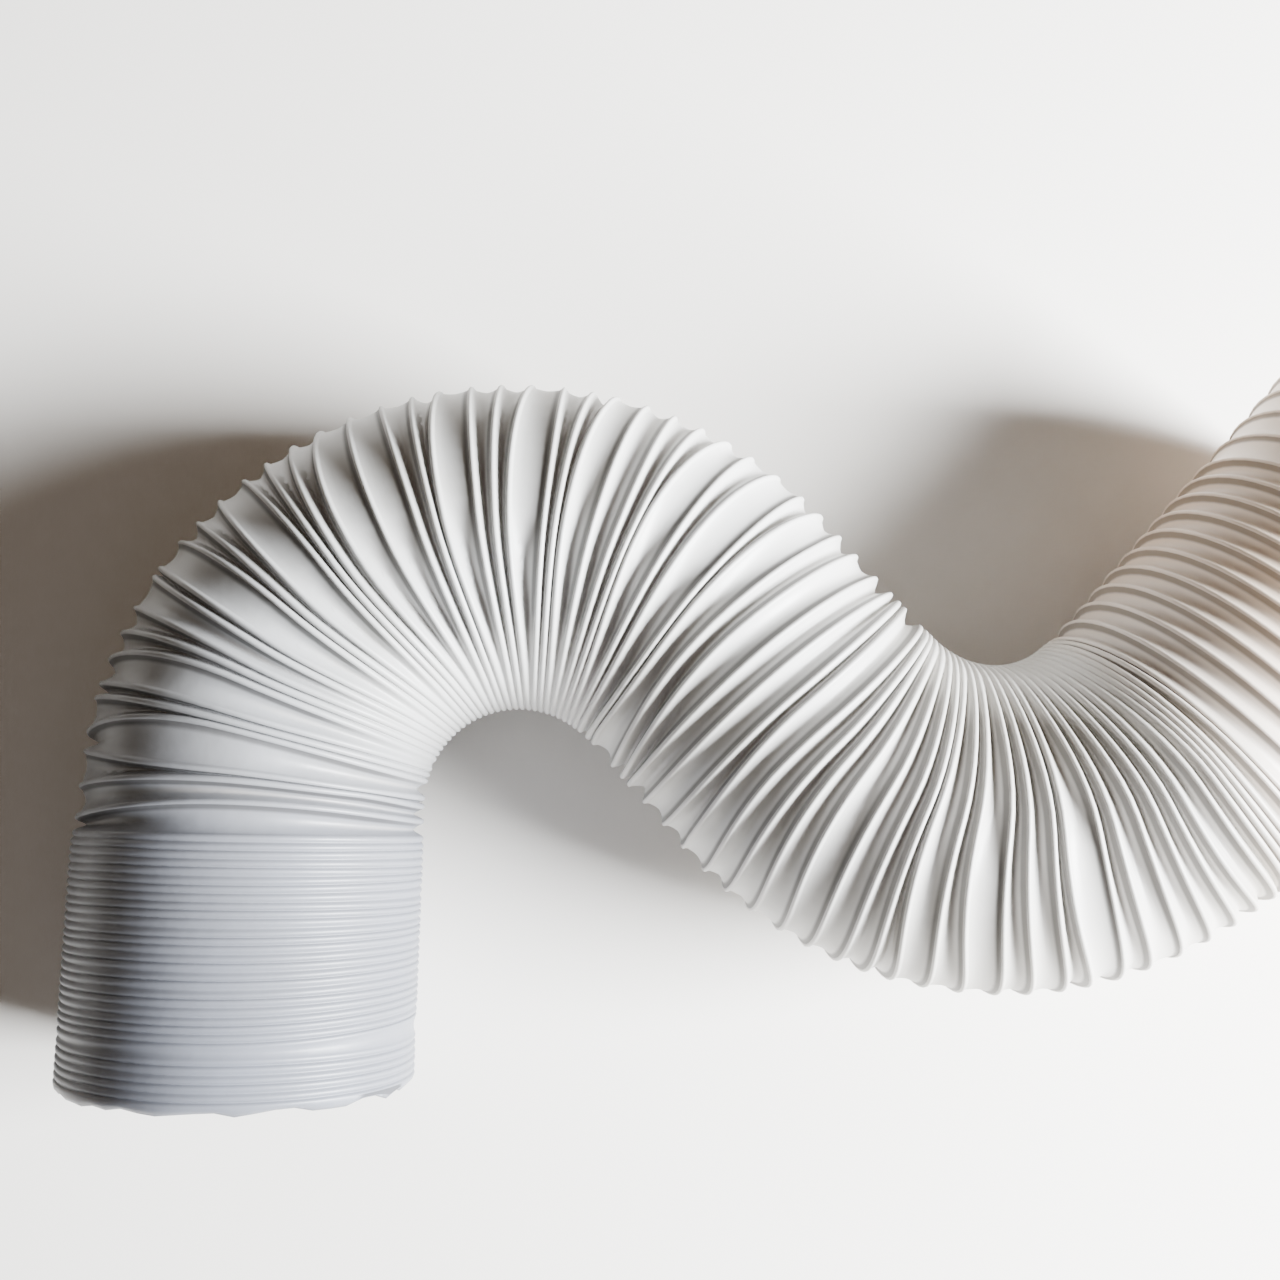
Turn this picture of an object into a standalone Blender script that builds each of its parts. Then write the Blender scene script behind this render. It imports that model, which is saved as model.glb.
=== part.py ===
"""Flexible exhaust hose of a portable air conditioner, as it lies on a floor.

One thin plastic wall, folded round into pleats, open at both ends. Each pleat is a crest, a
valley and the two flanks between them. The hose follows a route over the floor, and each pleat
is opened by its own amount on the left, over the top and on the right.
Lengths are in metres, with +Z up, and angles are in degrees where a name says so.
"""
import math

import bmesh
import bpy
from mathutils import Vector

# Section of the wall
CREST_RADIUS_CLOSED = 0.0783    # outside radius where the pleats are folded shut
CREST_RADIUS_OPEN = 0.0755      # outside radius where they are pulled open
FLANK_WIDTH = 0.0090            # across the wall, from a crest to a valley
WALL_THICKNESS = 0.0005
OPEN_PITCH = 0.0145             # crest to crest where a pleat is pulled wide open
SHALLOWEST_VALLEY = 0.0018      # depth left where a pleat is pulled all but flat
SIDES = 14                      # corners of each ring

# Pleats folded shut, from the near end
STACK_PLEATS = 30
STACK_PITCH = 0.00345
STACK_LOOSE_PLEAT = 5           # a pleat near the end that has opened a little
STACK_LOOSE_PITCH = 0.0055

# Route of the axis past the stack, up to the straight tail
NEAR_END_HEADING_DEG = 90.0     # the hose leaves its near end along +Y
NECK_LENGTH = 0.0182
FIRST_BEND_RADIUS = 0.1203
FIRST_BEND_ANGLE_DEG = 138.9    # to the right
MIDDLE_LENGTH = 0.0628
SECOND_BEND_RADIUS = 0.1189
SECOND_BEND_ANGLE_DEG = 98.2    # to the left

# Pleats along that route, three times: how far each is opened, in millimetres, on the left
# side, over the top and on the right side. Each row is then scaled to its length of route.
LEFT_OPENINGS = (
    6, 14, 17, 7, 17, 7, 11, 14, 14, 17, 5, 14, 13, 15, 14, 14, 16, 15, 15, 15, 16, 14, 15,
    15, 15, 15, 15, 12, 15, 14, 15, 15, 13, 16, 15, 13, 13, 12, 14, 10, 5, 4, 11, 3, 3, 3,
    3, 3, 3, 3, 3, 3, 3, 3, 3, 3, 3, 3, 3, 3, 3, 3, 3, 3, 3, 3, 3, 3, 3,
)
TOP_OPENINGS = (
    14, 9, 4, 17, 3, 4, 13, 4, 4, 8, 4, 14, 4, 5, 14, 4, 4, 6, 14, 14, 7, 4, 14,
    7, 6, 15, 5, 4, 12, 10, 6, 3, 13, 6, 14, 4, 12, 9, 13, 11, 12, 6, 12, 9, 7, 9,
    12, 10, 7, 4, 11, 7, 13, 8, 10, 5, 14, 7, 10, 8, 7, 6, 9, 6, 3, 3, 3, 7, 3,
)
RIGHT_OPENINGS = (
    8, 7, 4, 8, 3, 3, 5, 3, 3, 3, 3, 3, 3, 3, 3, 3, 3, 3, 3, 3, 3, 3, 3,
    3, 3, 3, 3, 3, 3, 3, 3, 3, 3, 3, 5, 4, 14, 7, 5, 11, 14, 14, 15, 14, 15, 16,
    15, 15, 14, 13, 16, 17, 17, 15, 16, 13, 14, 15, 16, 16, 15, 13, 10, 6, 4, 4, 4, 8, 4,
)
TOP_LAG = 0.006                 # the rings lean back by this much at the end of that route

# Straight tail, past the photograph's edge
TAIL_PLEATS = 10
TAIL_PITCH = 0.0118
END_PLEATS = 4                  # the last ones, pulled wide open
END_PITCH = 0.0160

WALL_COLOUR = (0.80, 0.80, 0.78, 1.0)
WALL_ROUGHNESS = 0.42


def stack_pitches():
    """Pitch of each pleat that is folded shut."""
    pitches = [STACK_PITCH] * round(STACK_PLEATS)
    pitches[round(STACK_LOOSE_PLEAT)] = STACK_LOOSE_PITCH
    return pitches


def tail_pitches():
    return [TAIL_PITCH] * round(TAIL_PLEATS) + [END_PITCH] * round(END_PLEATS)


def route_pieces():
    """Length of the axis and its turn to the left, for each piece of the route."""
    first = math.radians(FIRST_BEND_ANGLE_DEG)
    second = math.radians(SECOND_BEND_ANGLE_DEG)
    return [
        (sum(stack_pitches()) + NECK_LENGTH, 0.0),
        (FIRST_BEND_RADIUS * first, -first),
        (MIDDLE_LENGTH, 0.0),
        (SECOND_BEND_RADIUS * second, second),
        (sum(tail_pitches()), 0.0),
    ]


def half_width():
    """From the axis out to a side that a bend's pleats open or shut on."""
    return (CREST_RADIUS_CLOSED + CREST_RADIUS_OPEN) / 2


def on_route(station):
    """Place and heading of the axis, and how much it turns for each metre there."""
    place = Vector((0.0, 0.0, 0.0))
    heading = math.radians(NEAR_END_HEADING_DEG)
    for length, turn in route_pieces():
        part = min(station, length)
        half_turn = turn * part / length / 2
        chord = part if half_turn == 0.0 else part * math.sin(half_turn) / half_turn
        middle = heading + half_turn
        place = place + Vector((math.cos(middle), math.sin(middle), 0.0)) * chord
        heading += half_turn * 2
        bend = turn / length
        station -= part
        if station <= 0.0:
            break
    return place, heading, bend


def station_beside(distance, side):
    """Station of the axis next to a point this far along the left (1) or the right (-1) side."""
    station = 0.0
    for length, turn in route_pieces():
        beside = length - side * turn * half_width()
        if distance <= beside:
            return station + length * distance / beside
        distance -= beside
        station += length
    return station


def running_total(start, openings, length):
    """Distance of each crest, for openings that are scaled to fill a length."""
    scale = length / sum(openings)
    distances = []
    for opening in openings:
        start += opening * scale
        distances.append(start)
    return distances


def crest_stations():
    """Station of the axis for each crest: on the left, over the top and on the right."""
    stack = 0.0
    stations = [(0.0, 0.0, 0.0)]
    for pitch in stack_pitches():
        stack += pitch
        stations.append((stack, stack, stack))
    bends = route_pieces()[:-1]
    end = sum(length for length, turn in bends)
    spread = sum(turn for length, turn in bends) * half_width()
    left = running_total(stack, LEFT_OPENINGS, end - spread - stack)
    top = running_total(stack, TOP_OPENINGS, end - TOP_LAG - stack)
    right = running_total(stack, RIGHT_OPENINGS, end + spread - stack)
    for on_left, on_top, on_right in zip(left, top, right):
        stations.append((station_beside(on_left, 1), on_top, station_beside(on_right, -1)))
    tail = sum(tail_pitches())
    done = 0.0
    for pitch in tail_pitches():
        done += pitch
        at = end + done
        stations.append((at, at - TOP_LAG * (1 - done / tail), at))
    return stations


def station_at(crest, angle):
    """Station of a crest at an angle round the hose, measured from its left side over the top."""
    on_left, on_top, on_right = crest
    sideways = math.cos(angle)
    upright = math.sin(angle)
    beside = on_left if sideways > 0 else on_right
    over = on_top if upright > 0 else (on_left + on_right) / 2
    return beside * sideways ** 2 + over * upright ** 2


def crest_radius(opening):
    share = min(opening / OPEN_PITCH, 1.25)
    return CREST_RADIUS_CLOSED - (CREST_RADIUS_CLOSED - CREST_RADIUS_OPEN) * share


def valley_depth(opening):
    return math.sqrt(max(FLANK_WIDTH ** 2 - (opening / 2) ** 2, SHALLOWEST_VALLEY ** 2))


def wall_across(opening):
    """The wall measured along the radius: the steeper its flanks, the longer the way through."""
    return WALL_THICKNESS * FLANK_WIDTH / (opening / 2)


def wall_rings():
    """Crest and valley rings in turn, each as its outer and its inner corners."""
    crests = crest_stations()
    last = len(crests) - 1
    corners = round(SIDES)
    step = 2 * math.pi / corners
    # a ring's corners lie as far outside the round section as its flats lie inside
    reach = 2 / (1 + math.cos(step / 2))
    rest = reach * math.cos(step / 2)
    upward = Vector((0.0, 0.0, 1.0))
    low = [station_at(crest, -math.pi / 2) for crest in crests]
    rings = [([], []) for number in range(2 * last + 1)]
    for corner in range(corners):
        angle = step * (corner + 0.5) - math.pi / 2
        stations = [station_at(crest, angle) for crest in crests]
        openings = []
        for near, far in zip(stations, stations[1:]):
            bend = on_route((near + far) / 2)[2]
            openings.append((far - near) * (1 - bend * half_width() * math.cos(angle)))
        for number, (outer, inner) in enumerate(rings):
            crest = number // 2
            if number % 2:
                before, after = crest, crest + 1
                station = (stations[before] + stations[after]) / 2
                opening = openings[crest]
                radius = crest_radius(opening) - valley_depth(opening)
            else:
                before, after = max(crest - 1, 0), min(crest + 1, last)
                station = stations[crest]
                opening = sum(openings[before:after]) / (after - before)
                radius = crest_radius(opening)
            place, heading, bend = on_route(station)
            left_side = Vector((-math.sin(heading), math.cos(heading), 0.0))
            direction = left_side * math.cos(angle) + upward * math.sin(angle)
            low_opening = (low[after] - low[before]) / (after - before)
            middle = place + upward * crest_radius(low_opening) * rest
            outer.append(middle + direction * radius * reach)
            inner.append(middle + direction * (radius * reach - wall_across(opening)))
    return rings


def centred(rings):
    """The same rings, with the middle of their box on the floor at the origin."""
    points = [point for outer, inner in rings for point in outer]
    shift = Vector((
        -(min(p.x for p in points) + max(p.x for p in points)) / 2,
        -(min(p.y for p in points) + max(p.y for p in points)) / 2,
        -min(p.z for p in points),
    ))
    return [([p + shift for p in outer], [p + shift for p in inner]) for outer, inner in rings]


def bridge(mesh, first, second):
    """A band of triangles between two rings, cut alike on both faces of the wall."""
    count = len(first)
    for corner in range(count):
        after = (corner + 1) % count
        mesh.faces.new((first[corner], first[after], second[after]))
        mesh.faces.new((first[corner], second[after], second[corner]))


def wall_material():
    material = bpy.data.materials.new("white_plastic")
    material.use_nodes = True
    shader = material.node_tree.nodes["Principled BSDF"]
    shader.inputs["Base Color"].default_value = WALL_COLOUR
    shader.inputs["Roughness"].default_value = WALL_ROUGHNESS
    shader.inputs["Metallic"].default_value = 0.0
    return material


def make_hose():
    """The pleated wall as one closed body: outside, inside and a narrow rim at each end."""
    rings = centred(wall_rings())
    mesh = bmesh.new()
    outer_rings = [[mesh.verts.new(point) for point in outer] for outer, inner in rings]
    inner_rings = [[mesh.verts.new(point) for point in inner] for outer, inner in rings]
    for number in range(len(rings) - 1):
        bridge(mesh, outer_rings[number], outer_rings[number + 1])
        bridge(mesh, inner_rings[number], inner_rings[number + 1])
    bridge(mesh, inner_rings[0], outer_rings[0])
    bridge(mesh, outer_rings[-1], inner_rings[-1])
    bmesh.ops.recalc_face_normals(mesh, faces=mesh.faces)

    data = bpy.data.meshes.new("hose")
    mesh.to_mesh(data)
    mesh.free()
    data.shade_smooth()
    data.set_sharp_from_angle(angle=math.radians(35))
    data.materials.append(wall_material())
    hose = bpy.data.objects.new("hose", data)
    bpy.context.scene.collection.objects.link(hose)
    return hose


def main():
    for leftover in list(bpy.data.objects):
        bpy.data.objects.remove(leftover, do_unlink=True)
    make_hose()


main()
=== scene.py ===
import math

import bpy
import numpy as np
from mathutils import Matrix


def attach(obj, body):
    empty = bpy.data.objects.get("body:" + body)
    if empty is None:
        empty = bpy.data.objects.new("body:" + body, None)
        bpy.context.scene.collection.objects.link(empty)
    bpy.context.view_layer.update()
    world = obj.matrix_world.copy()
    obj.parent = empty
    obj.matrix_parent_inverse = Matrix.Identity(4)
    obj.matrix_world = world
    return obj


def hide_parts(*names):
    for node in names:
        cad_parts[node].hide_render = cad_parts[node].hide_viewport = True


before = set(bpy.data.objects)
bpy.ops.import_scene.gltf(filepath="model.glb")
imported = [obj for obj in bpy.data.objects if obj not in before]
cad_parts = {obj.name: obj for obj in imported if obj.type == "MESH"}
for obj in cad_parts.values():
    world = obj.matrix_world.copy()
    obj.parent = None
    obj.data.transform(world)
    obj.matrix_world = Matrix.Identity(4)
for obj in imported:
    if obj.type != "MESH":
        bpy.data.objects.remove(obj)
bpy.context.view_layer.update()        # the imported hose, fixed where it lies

bpy.ops.object.select_all(action="DESELECT")
print("frame loaded")


# Hose route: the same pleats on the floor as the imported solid, counted from the folded end.
hoseRoute = {
    "radiusShut": 0.0783,        # over the crests, pleats folded shut
    "radiusOpen": 0.0755,        # over the crests, pleats pulled open
    "openPitch": 0.0145,
    "widest": 1.25,              # of the open pitch, past which the crests sink no further
    "headingDeg": 90.0,          # the hose leaves its folded end along +Y
    "stackPleats": 30,
    "stackPitch": 0.00345,
    "loosePleat": 5,
    "loosePitch": 0.0055,        # as packed; it is drawn tighter on the left, wider on the right
    "looseAt": (0.0040, 0.0056, 0.0086),     # on the left, over the top and on the right
    "neckLength": 0.0182,
    "firstRadius": 0.1203,
    "firstAngleDeg": 138.9,
    "middleLength": 0.0628,
    "secondRadius": 0.1189,
    "secondAngleDeg": 98.2,
    "topLag": 0.006,
    "tailPleats": 10,
    "tailPitch": 0.0118,
    "endPleats": 4,
    "endPitch": 0.0160,
    # how far each pleat of the bends is opened, in millimetres
    "leftOpenings": (
        6, 14, 17, 7, 17, 7, 11, 14, 14, 17, 5, 14, 13, 15, 14, 14, 16, 15, 15, 15, 16, 14, 15,
        15, 15, 15, 15, 12, 15, 14, 15, 15, 13, 16, 15, 13, 13, 12, 14, 10, 5, 4, 11, 3, 3, 3,
        3, 3, 3, 3, 3, 3, 3, 3, 3, 3, 3, 3, 3, 3, 3, 3, 3, 3, 3, 3, 3, 3, 3,
    ),
    "topOpenings": (
        14, 9, 4, 17, 3, 4, 13, 4, 4, 8, 4, 14, 4, 5, 14, 4, 4, 6, 14, 14, 7, 4, 14,
        7, 6, 15, 5, 4, 12, 10, 6, 3, 13, 6, 14, 4, 12, 9, 13, 11, 12, 6, 12, 9, 7, 9,
        12, 10, 7, 4, 11, 7, 13, 8, 10, 5, 14, 7, 10, 8, 7, 6, 9, 6, 3, 3, 3, 7, 3,
    ),
    "rightOpenings": (
        8, 7, 4, 8, 3, 3, 5, 3, 3, 3, 3, 3, 3, 3, 3, 3, 3, 3, 3, 3, 3, 3, 3,
        3, 3, 3, 3, 3, 3, 3, 3, 3, 3, 3, 5, 4, 14, 7, 5, 11, 14, 14, 15, 14, 15, 16,
        15, 15, 14, 13, 16, 17, 17, 15, 16, 13, 14, 15, 16, 16, 15, 13, 10, 6, 4, 4, 4, 8, 4,
    ),
}

# Hose wall: how the sheet is folded, and how finely it is drawn.
hoseWall = {
    "flankWidth": 0.0080,        # from the side of a crest's fin to the valley's floor
    "thickness": 0.0005,
    "roundingOpen": 0.0012,      # outside rounding of a crest, pulled open and folded shut
    "roundingShut": 0.0019,
    "crestShare": 0.45,          # of the pitch, where the pleat is too tight for that
    "finSideDeg": 82,
    "finFoot": (0.0007, 0.0011),     # from the fin's side to the flank, in front and behind
    "finHeight": (0.0010, 0.0021),
    "flattening": 0.10,          # of the depth, lost where a pleat is pulled wide open
    "shallowest": 0.0027,        # depth that is left of a pleat pulled flat
    "deepest": (0.80, 4.0),      # of the pitch, where two crests stand close: outside, inside
    "mostRounding": 0.92,        # of half the pitch
    "footShare": (0.3, 0.4),     # most of the flank that a fin's foot takes, along and down
    "bellyShare": (0.55, 0.68),  # where the flank bends on its way down, along and down
    "openingSteps": 2,           # of evening out, before the crests' radius is worked out
    "pitchSteps": 9,             # and before pleats count as pressed together
    # pleats pressed together: the groove between two crests, and the pitches that it goes with
    "pressedGroove": 0.0010,
    "pressedSideDeg": 44,
    "pressedPitch": 0.0038,
    "freePitch": 0.0056,
    # painted shade, added at the valleys of pressed pleats
    "pressedShade": 0.45,
    "columns": 60,
    "wobble": 0.0003,            # unevenness of the shut pleats
    "seed": 7,
}

# Torn lip: half a pleat of sheet left hanging at the folded end.
tornLip = {
    "length": 0.0044,
    "inward": 0.0026,
    "raggedness": 0.60,
    "tornShare": 0.75,
    # where the strip's own end has come loose: a raised flap of lip, with a painted shadow along
    # its foot
    "flapDeg": (140, 163),
    "flapRise": 0.0012,
}


def stackPitches():
    r = hoseRoute
    pitches = [r["stackPitch"]] * r["stackPleats"]
    pitches[r["loosePleat"]] = r["loosePitch"]
    return pitches


def tailPitches():
    r = hoseRoute
    return [r["tailPitch"]] * r["tailPleats"] + [r["endPitch"]] * r["endPleats"]


def routePieces():
    # length of the axis and its turn to the left, for each piece of the route
    r = hoseRoute
    first, second = math.radians(r["firstAngleDeg"]), math.radians(r["secondAngleDeg"])
    return np.array([
        (sum(stackPitches()) + r["neckLength"], 0),
        (r["firstRadius"] * first, -first),
        (r["middleLength"], 0),
        (r["secondRadius"] * second, second),
        (sum(tailPitches()), 0),
    ])


def onRoute(stations):
    # axis and heading at any stations, and the turn for each metre there
    lengths, turns = routePieces().T
    headings = math.radians(hoseRoute["headingDeg"]) + np.concatenate([[0], np.cumsum(turns)[:-1]])
    starts = np.concatenate([[0], np.cumsum(lengths)[:-1]])
    chords = lengths * np.sinc(turns / 2 / math.pi)
    cornersX = np.concatenate([[0], np.cumsum(chords * np.cos(headings + turns / 2))])
    cornersY = np.concatenate([[0], np.cumsum(chords * np.sin(headings + turns / 2))])
    piece = np.clip(np.searchsorted(starts, stations, side="right") - 1, 0, len(lengths) - 1)
    part = stations - starts[piece]
    bend = turns[piece] / lengths[piece]
    half = bend * part / 2
    chord = part * np.sinc(half / math.pi)
    middle = headings[piece] + half
    x = cornersX[piece] + chord * np.cos(middle)
    y = cornersY[piece] + chord * np.sin(middle)
    return x, y, headings[piece] + 2 * half, bend


def halfWidth():
    return (hoseRoute["radiusShut"] + hoseRoute["radiusOpen"]) / 2


def stationBeside(distance, side):
    # station of the axis next to points along the left (1) or the right (-1) side
    lengths, turns = routePieces().T
    beside = np.concatenate([[0], np.cumsum(lengths - side * turns * halfWidth())])
    return np.interp(distance, beside, np.concatenate([[0], np.cumsum(lengths)]))


def crestStations():
    # stations of every crest on the left, over the top and on the right
    r = hoseRoute
    stackLength = sum(stackPitches())
    lengths, turns = routePieces()[:-1].T
    end, spread = lengths.sum(), turns.sum() * halfWidth()

    def shut(loose):
        # crests of the folded end along one row, where its loose pleat has this pitch
        pitches = np.full(r["stackPleats"], (stackLength - loose) / (r["stackPleats"] - 1))
        pitches[r["loosePleat"]] = loose
        return np.concatenate([[0], np.cumsum(pitches)])

    def filled(openings, length):
        total = np.cumsum(openings)
        return stackLength + total / total[-1] * length

    left = stationBeside(filled(r["leftOpenings"], end - spread - stackLength), 1)
    top = filled(r["topOpenings"], end - r["topLag"] - stackLength)
    right = stationBeside(filled(r["rightOpenings"], end + spread - stackLength), -1)
    tail = np.cumsum(tailPitches())
    lag = r["topLag"] * (1 - tail / tail[-1])
    shutLeft, shutTop, shutRight = [shut(loose) for loose in r["looseAt"]]
    return (np.concatenate([shutLeft, left, end + tail]),
            np.concatenate([shutTop, top, end + tail - lag]),
            np.concatenate([shutRight, right, end + tail]))


def startOfHose():
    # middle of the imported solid's near rim, which is its lowest edge in Y
    rimSlack = 0.0001
    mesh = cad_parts["hose"].data
    points = np.empty(len(mesh.vertices) * 3)
    mesh.vertices.foreach_get("co", points)
    points = points.reshape(-1, 3)
    rim = points[points[:, 1] < points[:, 1].min() + rimSlack]
    return np.array([(rim[:, 0].min() + rim[:, 0].max()) / 2, points[:, 1].min()])


def crestRadius(opening):
    r = hoseRoute
    drop = r["radiusShut"] - r["radiusOpen"]
    return r["radiusShut"] - drop * np.minimum(opening / r["openPitch"], r["widest"])


def blurred(values, steps):
    # evened out along the hose
    for _ in range(steps):
        padded = np.concatenate([values[:1], values, values[-1:]])
        values = (padded[:-2] + 2 * padded[1:-1] + padded[2:]) / 4
    return values


def foldProfile(pitch, pressed, back, deepest):
    # half of a pleat's section, from the crest's top to the valley's floor: distance along the
    # hose, depth and slope at each of six nodes, in front of a crest or at the next one's back
    w = hoseWall
    half = pitch / 2
    opened = np.minimum(pitch / hoseRoute["openPitch"], 1)
    depth = np.sqrt(np.maximum(w["flankWidth"] ** 2 - half ** 2, w["shallowest"] ** 2))
    depth = np.minimum(depth * (1 - w["flattening"] * opened ** 2), deepest * pitch)
    depth = depth + (w["pressedGroove"] - depth) * pressed
    spare = (w["roundingShut"] - w["roundingOpen"]) * (1 - opened) ** 2
    rounding = np.minimum(w["crestShare"] * pitch, w["roundingOpen"] + spare)
    rounding = np.minimum(rounding, w["mostRounding"] * half)
    side = np.radians(w["finSideDeg"] + (w["pressedSideDeg"] - w["finSideDeg"]) * pressed)
    sideX, sideY = rounding * np.sin(side), rounding * (1 - np.cos(side))
    footX = sideX + np.minimum(w["finFoot"][back], w["footShare"][0] * (half - sideX))
    footY = sideY + np.minimum(w["finHeight"][back], w["footShare"][1] * (depth - sideY))
    lowX = footX + w["bellyShare"][0] * (half - footX)
    lowY = footY + w["bellyShare"][1] * (depth - footY)
    return [
        (half * 0, half * 0, half * 0),
        (rounding * np.sin(side / 2), rounding * (1 - np.cos(side / 2)), side / 2),
        (sideX, sideY, side),
        (footX, footY, np.arctan2(lowY - sideY, lowX - sideX)),
        (lowX, lowY, np.arctan2(depth - footY, half - footX)),
        (half, depth, half * 0),
    ]


def makeHose():
    w = hoseWall
    rng = np.random.default_rng(w["seed"])
    columns = w["columns"]
    turn = np.arange(columns) / columns * 2 * math.pi
    sideways, upright = np.cos(turn), np.sin(turn)
    onLeft, onTop, onRight = crestStations()
    count = len(onLeft)

    # shut pleats are never quite even: each ring sits a little off on each side
    uneven = rng.normal(0, w["wobble"], (3, count))
    uneven[:, :1] = 0
    uneven[:, hoseRoute["stackPleats"]:] = 0
    onLeft, onTop, onRight = onLeft + uneven[0], onTop + uneven[1], onRight + uneven[2]
    stations = np.outer(onLeft, np.where(sideways > 0, sideways, 0) ** 2)
    stations += np.outer(onRight, np.where(sideways < 0, sideways, 0) ** 2)
    stations += np.outer(onTop, np.where(upright > 0, upright, 0) ** 2)
    stations += np.outer((onLeft + onRight) / 2, np.where(upright < 0, upright, 0) ** 2)

    bend = onRoute((stations[1:] + stations[:-1]) / 2)[3]
    opening = (stations[1:] - stations[:-1]) * (1 - bend * halfWidth() * sideways)
    opening = np.concatenate([opening[:1], (opening[:-1] + opening[1:]) / 2, opening[-1:]])
    radius = crestRadius(blurred(opening, w["openingSteps"]))
    low = crestRadius(blurred(opening.mean(axis=1), w["openingSteps"]))[:, None]

    x, y, heading, bend = onRoute(stations)
    start = startOfHose()
    outward = np.stack([-np.sin(heading) * sideways, np.cos(heading) * sideways,
                        np.broadcast_to(upright, heading.shape)], axis=-1)
    centre = np.stack([x + start[0], y + start[1], np.broadcast_to(low, x.shape)], axis=-1)
    crests = centre + outward * radius[..., None]

    chord = crests[1:] - crests[:-1]
    pitch = np.linalg.norm(chord, axis=-1)
    evened = blurred(pitch, w["pitchSteps"])
    room = (evened - w["pressedPitch"]) / (w["freePitch"] - w["pressedPitch"])
    pressed = 1 - np.clip(room, 0, 1)
    pressed[:hoseRoute["stackPleats"]] = 1
    outside = [foldProfile(pitch, pressed, back, w["deepest"][0]) for back in (False, True)]
    inside = [foldProfile(pitch, pressed * 0, back, w["deepest"][1]) for back in (False, True)]
    crest, foot, valley = 0, 3, 5        # nodes of half a pleat
    crestShadeAt = [0, 0.3, 1, 1, 0, 0]        # painted shade: the dark line along the back of each crest

    def rows(picked, inset, profiles):
        # rings of points through every pleat, at the picked nodes, sunk by inset into the wall
        found, depths, places, crestShades = [], [], [], []
        halves = [(n, False) for n in picked] + [(n, True) for n in reversed(picked[1:-1])]
        for n, mirrored in halves:
            along, depth, angle = profiles[mirrored][n]
            along = along - inset * np.sin(angle)
            part = along / pitch
            if mirrored:
                part = 1 - part
            inward = -(outward[:-1] * (1 - part)[..., None] + outward[1:] * part[..., None])
            inward /= np.linalg.norm(inward, axis=-1)[..., None]
            sunk = depth + inset * np.cos(angle)
            found.append(crests[:-1] + chord * part[..., None] + inward * sunk[..., None])
            # painted shade: the fold colour grows with the fold's depth, and more at the valleys
            # of pressed pleats
            groove = depth / w["flankWidth"] + pressed * w["pressedShade"] * (n == valley)
            depths.append(groove)
            places.append(stations[:-1] * (1 - part) + stations[1:] * part)
            crestShades.append((1 - pressed) * (crestShadeAt[n] if mirrored else 0))
        rings = np.stack(found, axis=1).reshape(-1, columns, 3)
        sinks = np.stack(depths, axis=1).reshape(-1, columns)
        along = np.stack(places, axis=1).reshape(-1, columns)
        crestShadeLine = np.stack(crestShades, axis=1).reshape(-1, columns)
        last = crests[-1:] - outward[-1:] * inset
        return (np.concatenate([rings, last]), np.concatenate([sinks, sinks[:1] * 0]),
                np.concatenate([along, stations[-1:]]), np.concatenate([crestShadeLine, crestShadeLine[:1]]))

    # ragged lip in front of the first crest
    tear = rng.uniform(0, 1, columns) * (rng.uniform(0, 1, columns) < tornLip["tornShare"])
    reach = tornLip["length"] * (1 - tornLip["raggedness"] * tear)
    forward = np.array([0, -1, 0])
    flapFrom, flapTo = np.radians(tornLip["flapDeg"])
    flap = ((turn > flapFrom) & (turn < flapTo)).astype(float)

    def lip(inset):
        # its torn edge, then the ring half way to the first crest
        made = []
        for share in (1.0, 0.5):
            sunk = (tornLip["inward"] * share ** 2 + inset - flap * tornLip["flapRise"])[:, None]
            made.append(crests[0] + forward * (reach * share)[:, None] - outward[0] * sunk)
        return np.stack(made)

    outer, outerSink, outerAlong, outerCrestShade = rows(list(range(valley + 1)), 0.0, outside)
    inner, innerSink, innerAlong, innerCrestShade = rows([crest, foot, valley], w["thickness"], inside)
    outer, inner = np.concatenate([lip(0.0), outer]), np.concatenate([lip(w["thickness"]), inner])
    none = np.zeros((2, columns))
    sink = np.concatenate([none, outerSink, none, innerSink]).reshape(-1)
    along = np.concatenate([none, outerAlong, none, innerAlong]).reshape(-1) / stations.max()
    # painted shadow along the flap's foot, on the first crest and half way along the lip, where no
    # gap is modelled
    outerCrestShade[0] = flap
    lipCrestShade = np.stack([flap * 0, flap])
    crestShadeLine = np.concatenate([lipCrestShade, outerCrestShade, none, innerCrestShade * 0]).reshape(-1)
    points = np.concatenate([outer.reshape(-1, 3), inner.reshape(-1, 3)])
    outerCount, innerCount = len(outer), len(inner)

    def band(first, second):
        here = np.arange(columns)
        after = (here + 1) % columns
        return np.stack([first * columns + here, first * columns + after,
                         second * columns + after, second * columns + here], axis=-1)

    faces = [band(n, n + 1) for n in range(outerCount - 1)]
    faces += [band(outerCount + n + 1, outerCount + n) for n in range(innerCount - 1)]
    faces += [band(outerCount, 0), band(outerCount - 1, outerCount + innerCount - 1)]
    faces = np.concatenate(faces)

    mesh = bpy.data.meshes.new("hoseWall")
    mesh.from_pydata(points, [], faces.tolist())
    mesh.attributes.new("foldDepth", "FLOAT", "POINT").data.foreach_set("value", sink)
    mesh.attributes.new("alongHose", "FLOAT", "POINT").data.foreach_set("value", along)
    mesh.attributes.new("crestShade", "FLOAT", "POINT").data.foreach_set("value", crestShadeLine)
    mesh.update()
    hose = bpy.data.objects.new("hoseWall", mesh)
    bpy.context.scene.collection.objects.link(hose)
    bpy.ops.object.select_all(action="DESELECT")
    hose.select_set(True)
    bpy.context.view_layer.objects.active = hose
    bpy.ops.object.shade_smooth()
    return hose


hose = makeHose()
print("hose folded:", len(hose.data.polygons), "faces")


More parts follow.
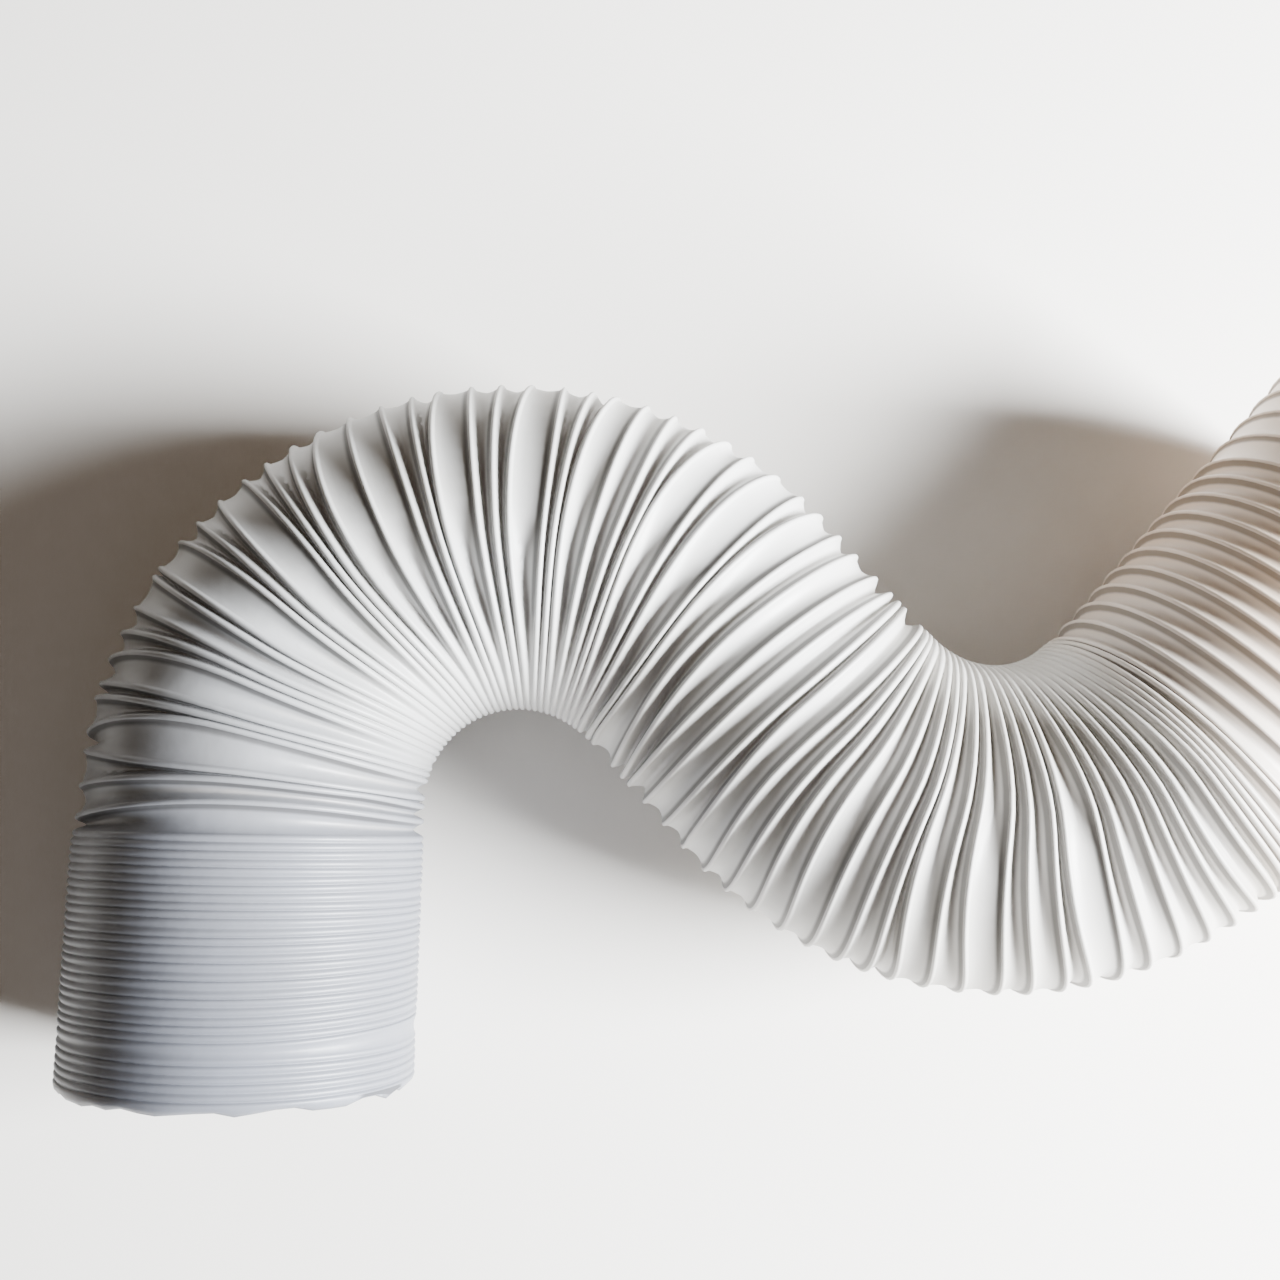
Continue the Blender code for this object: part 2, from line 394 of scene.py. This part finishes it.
# Nodes that both materials use
mixFirst, mixSecond, mixResult = 6, 7, 2     # the colour sockets of a mix


def addNoise(tree, where, scaleAndDetail):
    noise = tree.nodes.new("ShaderNodeTexNoise")
    noise.inputs["Scale"].default_value, noise.inputs["Detail"].default_value = scaleAndDetail
    tree.links.new(where, noise.inputs["Vector"])
    return noise.outputs["Fac"]


def addAttribute(tree, name):
    attribute = tree.nodes.new("ShaderNodeAttribute")
    attribute.attribute_name = name
    return attribute.outputs["Fac"]


def addRange(tree, value, before, after):
    ramp = tree.nodes.new("ShaderNodeMapRange")
    ramp.inputs["From Min"].default_value, ramp.inputs["From Max"].default_value = before
    ramp.inputs["To Min"].default_value, ramp.inputs["To Max"].default_value = after
    tree.links.new(value, ramp.inputs["Value"])
    return ramp


def addMix(tree, factor, first, second):
    # each colour is a value or another node's output
    mix = tree.nodes.new("ShaderNodeMix")
    mix.data_type = "RGBA"
    tree.links.new(factor, mix.inputs["Factor"])
    for colour, socket in ((first, mix.inputs[mixFirst]), (second, mix.inputs[mixSecond])):
        if isinstance(colour, tuple):
            socket.default_value = colour
        else:
            tree.links.new(colour, socket)
    return mix


# Plastic: thin white sheet, satin, with painted shade low in the folds, behind each crest and
# toward the folded end.
plasticLook = {
    # colour along the hose, from the folded end (0) to the opened end (1): darker and bluer toward
    # the folded end as painted shade and painted cool light, yellower toward the opened end partly
    # as aged plastic and partly as painted warm light
    "sheetAndShade": [(0.00, (0.165, 0.175, 0.207, 1)), (0.12, (0.175, 0.183, 0.21, 1)),
              (0.24, (0.41, 0.412, 0.415, 1)), (0.40, (0.60, 0.595, 0.585, 1)),
              (0.75, (0.53, 0.51, 0.485, 1)), (0.86, (0.70, 0.565, 0.455, 1))],
    "aged": (0.88, 0.86, 0.82, 1),
    "agedNoise": (9, 3),             # scale and detail
    "agedFrom": (0.40, 0.72),
    "foldShade": (0.32, 0.28, 0.24, 1),
    "foldNoise": (60, 4),
    "foldFrom": (0.50, 1.0),         # of the flank's width, where the painted shade starts and is full
    "foldStrength": 0.9,
    # painted shade: a dark line behind each crest and along the loose flap's foot, with less sheen
    "crestShadeLine": (0.02, 0.017, 0.015, 1),
    "crestShadeFrom": (0.35, 1.0),
    "crestShadeStrength": 0.62,
    "roughness": (0.36, 0.50),
    "sheen": (0.50, 0.08),           # on the sheet, and lowered in the painted shade behind the crests
    "rippleNoise": (130, 3),
    "rippleStrength": 0.18,
    "rippleHeight": 0.0008,
    "refraction": 1.49,
    "glow": 0.03,
    "glowReach": (0.004, 0.0035, 0.003),
}


def makePlastic():
    look = plasticLook
    material = bpy.data.materials.new("whitePlastic")
    material.use_nodes = True
    tree = material.node_tree
    shader = tree.nodes["Principled BSDF"]
    where = tree.nodes.new("ShaderNodeTexCoord").outputs["Object"]

    sheetAndShade = tree.nodes.new("ShaderNodeValToRGB")
    stops = sheetAndShade.color_ramp.elements
    while len(stops) < len(look["sheetAndShade"]):
        stops.new(1)
    for stop, (place, colour) in zip(stops, look["sheetAndShade"]):
        stop.position = place
        stop.color = colour
    # painted shade and light along the hose, set in the sheet's colour
    tree.links.new(addAttribute(tree, "alongHose"), sheetAndShade.inputs["Fac"])
    ageing = addRange(tree, addNoise(tree, where, look["agedNoise"]), look["agedFrom"], (0, 1))
    aged = addMix(tree, ageing.outputs["Result"], sheetAndShade.outputs["Color"], look["aged"])
    aged.blend_type = "MULTIPLY"

    # painted shade low in the folds, dappled by noise; the same noise varies the roughness
    shadeAndRoughnessNoise = addNoise(tree, where, look["foldNoise"])
    deep = addRange(tree, addAttribute(tree, "foldDepth"), look["foldFrom"],
                    (0, look["foldStrength"]))
    foldShadeAmount = tree.nodes.new("ShaderNodeMath")
    foldShadeAmount.operation = "MULTIPLY"
    tree.links.new(deep.outputs["Result"], foldShadeAmount.inputs[0])
    tree.links.new(shadeAndRoughnessNoise, foldShadeAmount.inputs[1])
    folded = addMix(tree, foldShadeAmount.outputs["Value"], aged.outputs[mixResult], look["foldShade"])

    # painted shade behind each crest and at the flap's foot; its sheen is lowered too, so that it
    # stays dark
    crestShading = addRange(tree, addAttribute(tree, "crestShade"), look["crestShadeFrom"],
                      (0, look["crestShadeStrength"]))
    crestShading.interpolation_type = "SMOOTHSTEP"
    crestShaded = addMix(tree, crestShading.outputs["Result"], folded.outputs[mixResult], look["crestShadeLine"])
    tree.links.new(crestShaded.outputs[mixResult], shader.inputs["Base Color"])
    sheen = addRange(tree, crestShading.outputs["Result"], (0, look["crestShadeStrength"]), look["sheen"])
    tree.links.new(sheen.outputs["Result"], shader.inputs["Specular IOR Level"])
    satin = addRange(tree, shadeAndRoughnessNoise, (0, 1), look["roughness"])
    tree.links.new(satin.outputs["Result"], shader.inputs["Roughness"])

    bump = tree.nodes.new("ShaderNodeBump")
    bump.inputs["Strength"].default_value = look["rippleStrength"]
    bump.inputs["Distance"].default_value = look["rippleHeight"]
    tree.links.new(addNoise(tree, where, look["rippleNoise"]), bump.inputs["Height"])
    tree.links.new(bump.outputs["Normal"], shader.inputs["Normal"])

    shader.inputs["IOR"].default_value = look["refraction"]
    shader.inputs["Subsurface Weight"].default_value = look["glow"]
    shader.inputs["Subsurface Radius"].default_value = look["glowReach"]
    shader.inputs["Subsurface Scale"].default_value = 1
    return material


hose.data.materials.append(makePlastic())
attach(hose, "root")
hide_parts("hose")
print("plastic mixed")


# Floor: pale, faintly mottled.
floorLook = {
    "size": 6,
    "below": 0.0003,
    "light": (0.94, 0.91, 0.87, 1),
    "dark": (0.91, 0.87, 0.82, 1),
    "mottle": (5, 5),                # scale and detail
    "roughness": 0.75,
}


def makeFloor():
    look = floorLook
    bpy.ops.mesh.primitive_plane_add(size=look["size"], location=(0, 0, -look["below"]))
    floor = bpy.context.object
    floor.name = "floor"
    paint = bpy.data.materials.new("paleFloor")
    paint.use_nodes = True
    tree = paint.node_tree
    shader = tree.nodes["Principled BSDF"]
    where = tree.nodes.new("ShaderNodeTexCoord").outputs["Object"]
    mottled = addMix(tree, addNoise(tree, where, look["mottle"]), look["light"], look["dark"])
    tree.links.new(mottled.outputs[mixResult], shader.inputs["Base Color"])
    shader.inputs["Roughness"].default_value = look["roughness"]
    floor.data.materials.append(paint)
    return floor


makeFloor()
print("floor laid")


# Studio: one low key light from the opened end's side, a faint one from above, a dim warm sky.
studio = {
    "sky": (1.0, 0.72, 0.48),
    "skyStrength": 0.11,
    "key": {"place": (1.70, -0.30, 0.92), "aim": (0.0, 0.0, 0.05), "colour": (0.95, 0.98, 1.0),
            "power": 520, "size": 1.0},
    "over": {"place": (-0.1, -1.1, 1.5), "aim": (-0.1, 0.0, 0.0), "colour": (0.80, 0.90, 1.0),
             "power": 3, "size": 1.2},
}


def areaLight(name, look):
    place, aim = np.array(look["place"]), np.array(look["aim"])
    bpy.ops.object.light_add(type="AREA", location=place)
    lamp = bpy.context.object
    lamp.name = name
    lamp.data.energy = look["power"]
    lamp.data.size = look["size"]
    lamp.data.color = look["colour"]
    way = aim - place
    flat = math.hypot(way[0], way[1])
    lamp.rotation_euler = (math.atan2(flat, -way[2]), 0, math.atan2(way[1], way[0]) - math.pi / 2)


areaLight("key", studio["key"])
areaLight("over", studio["over"])
world = bpy.data.worlds.new("studioSky")
bpy.context.scene.world = world
world.use_nodes = True
world.node_tree.nodes["Background"].inputs["Color"].default_value = (*studio["sky"], 1)
world.node_tree.nodes["Background"].inputs["Strength"].default_value = studio["skyStrength"]
print("lights set")


# Camera: where the photograph was taken from, nearly straight above the hose.
photoCamera = {
    "besideStart": (0.14834, 0.11413),   # from the middle of the near rim
    "height": 0.7323,
    "tiltDeg": (7.45, -2.54, 1.2),
    "lens": 39.375,
    "sensor": 36,
    "nearest": 0.01,
}
start = startOfHose()
bpy.ops.object.camera_add(
    location=(start[0] + photoCamera["besideStart"][0], start[1] + photoCamera["besideStart"][1],
              photoCamera["height"]),
    rotation=[math.radians(a) for a in photoCamera["tiltDeg"]],
)
camera = bpy.context.object
camera.data.lens = photoCamera["lens"]
camera.data.sensor_width = photoCamera["sensor"]
camera.data.clip_start = photoCamera["nearest"]
bpy.context.scene.camera = camera
print("camera placed")
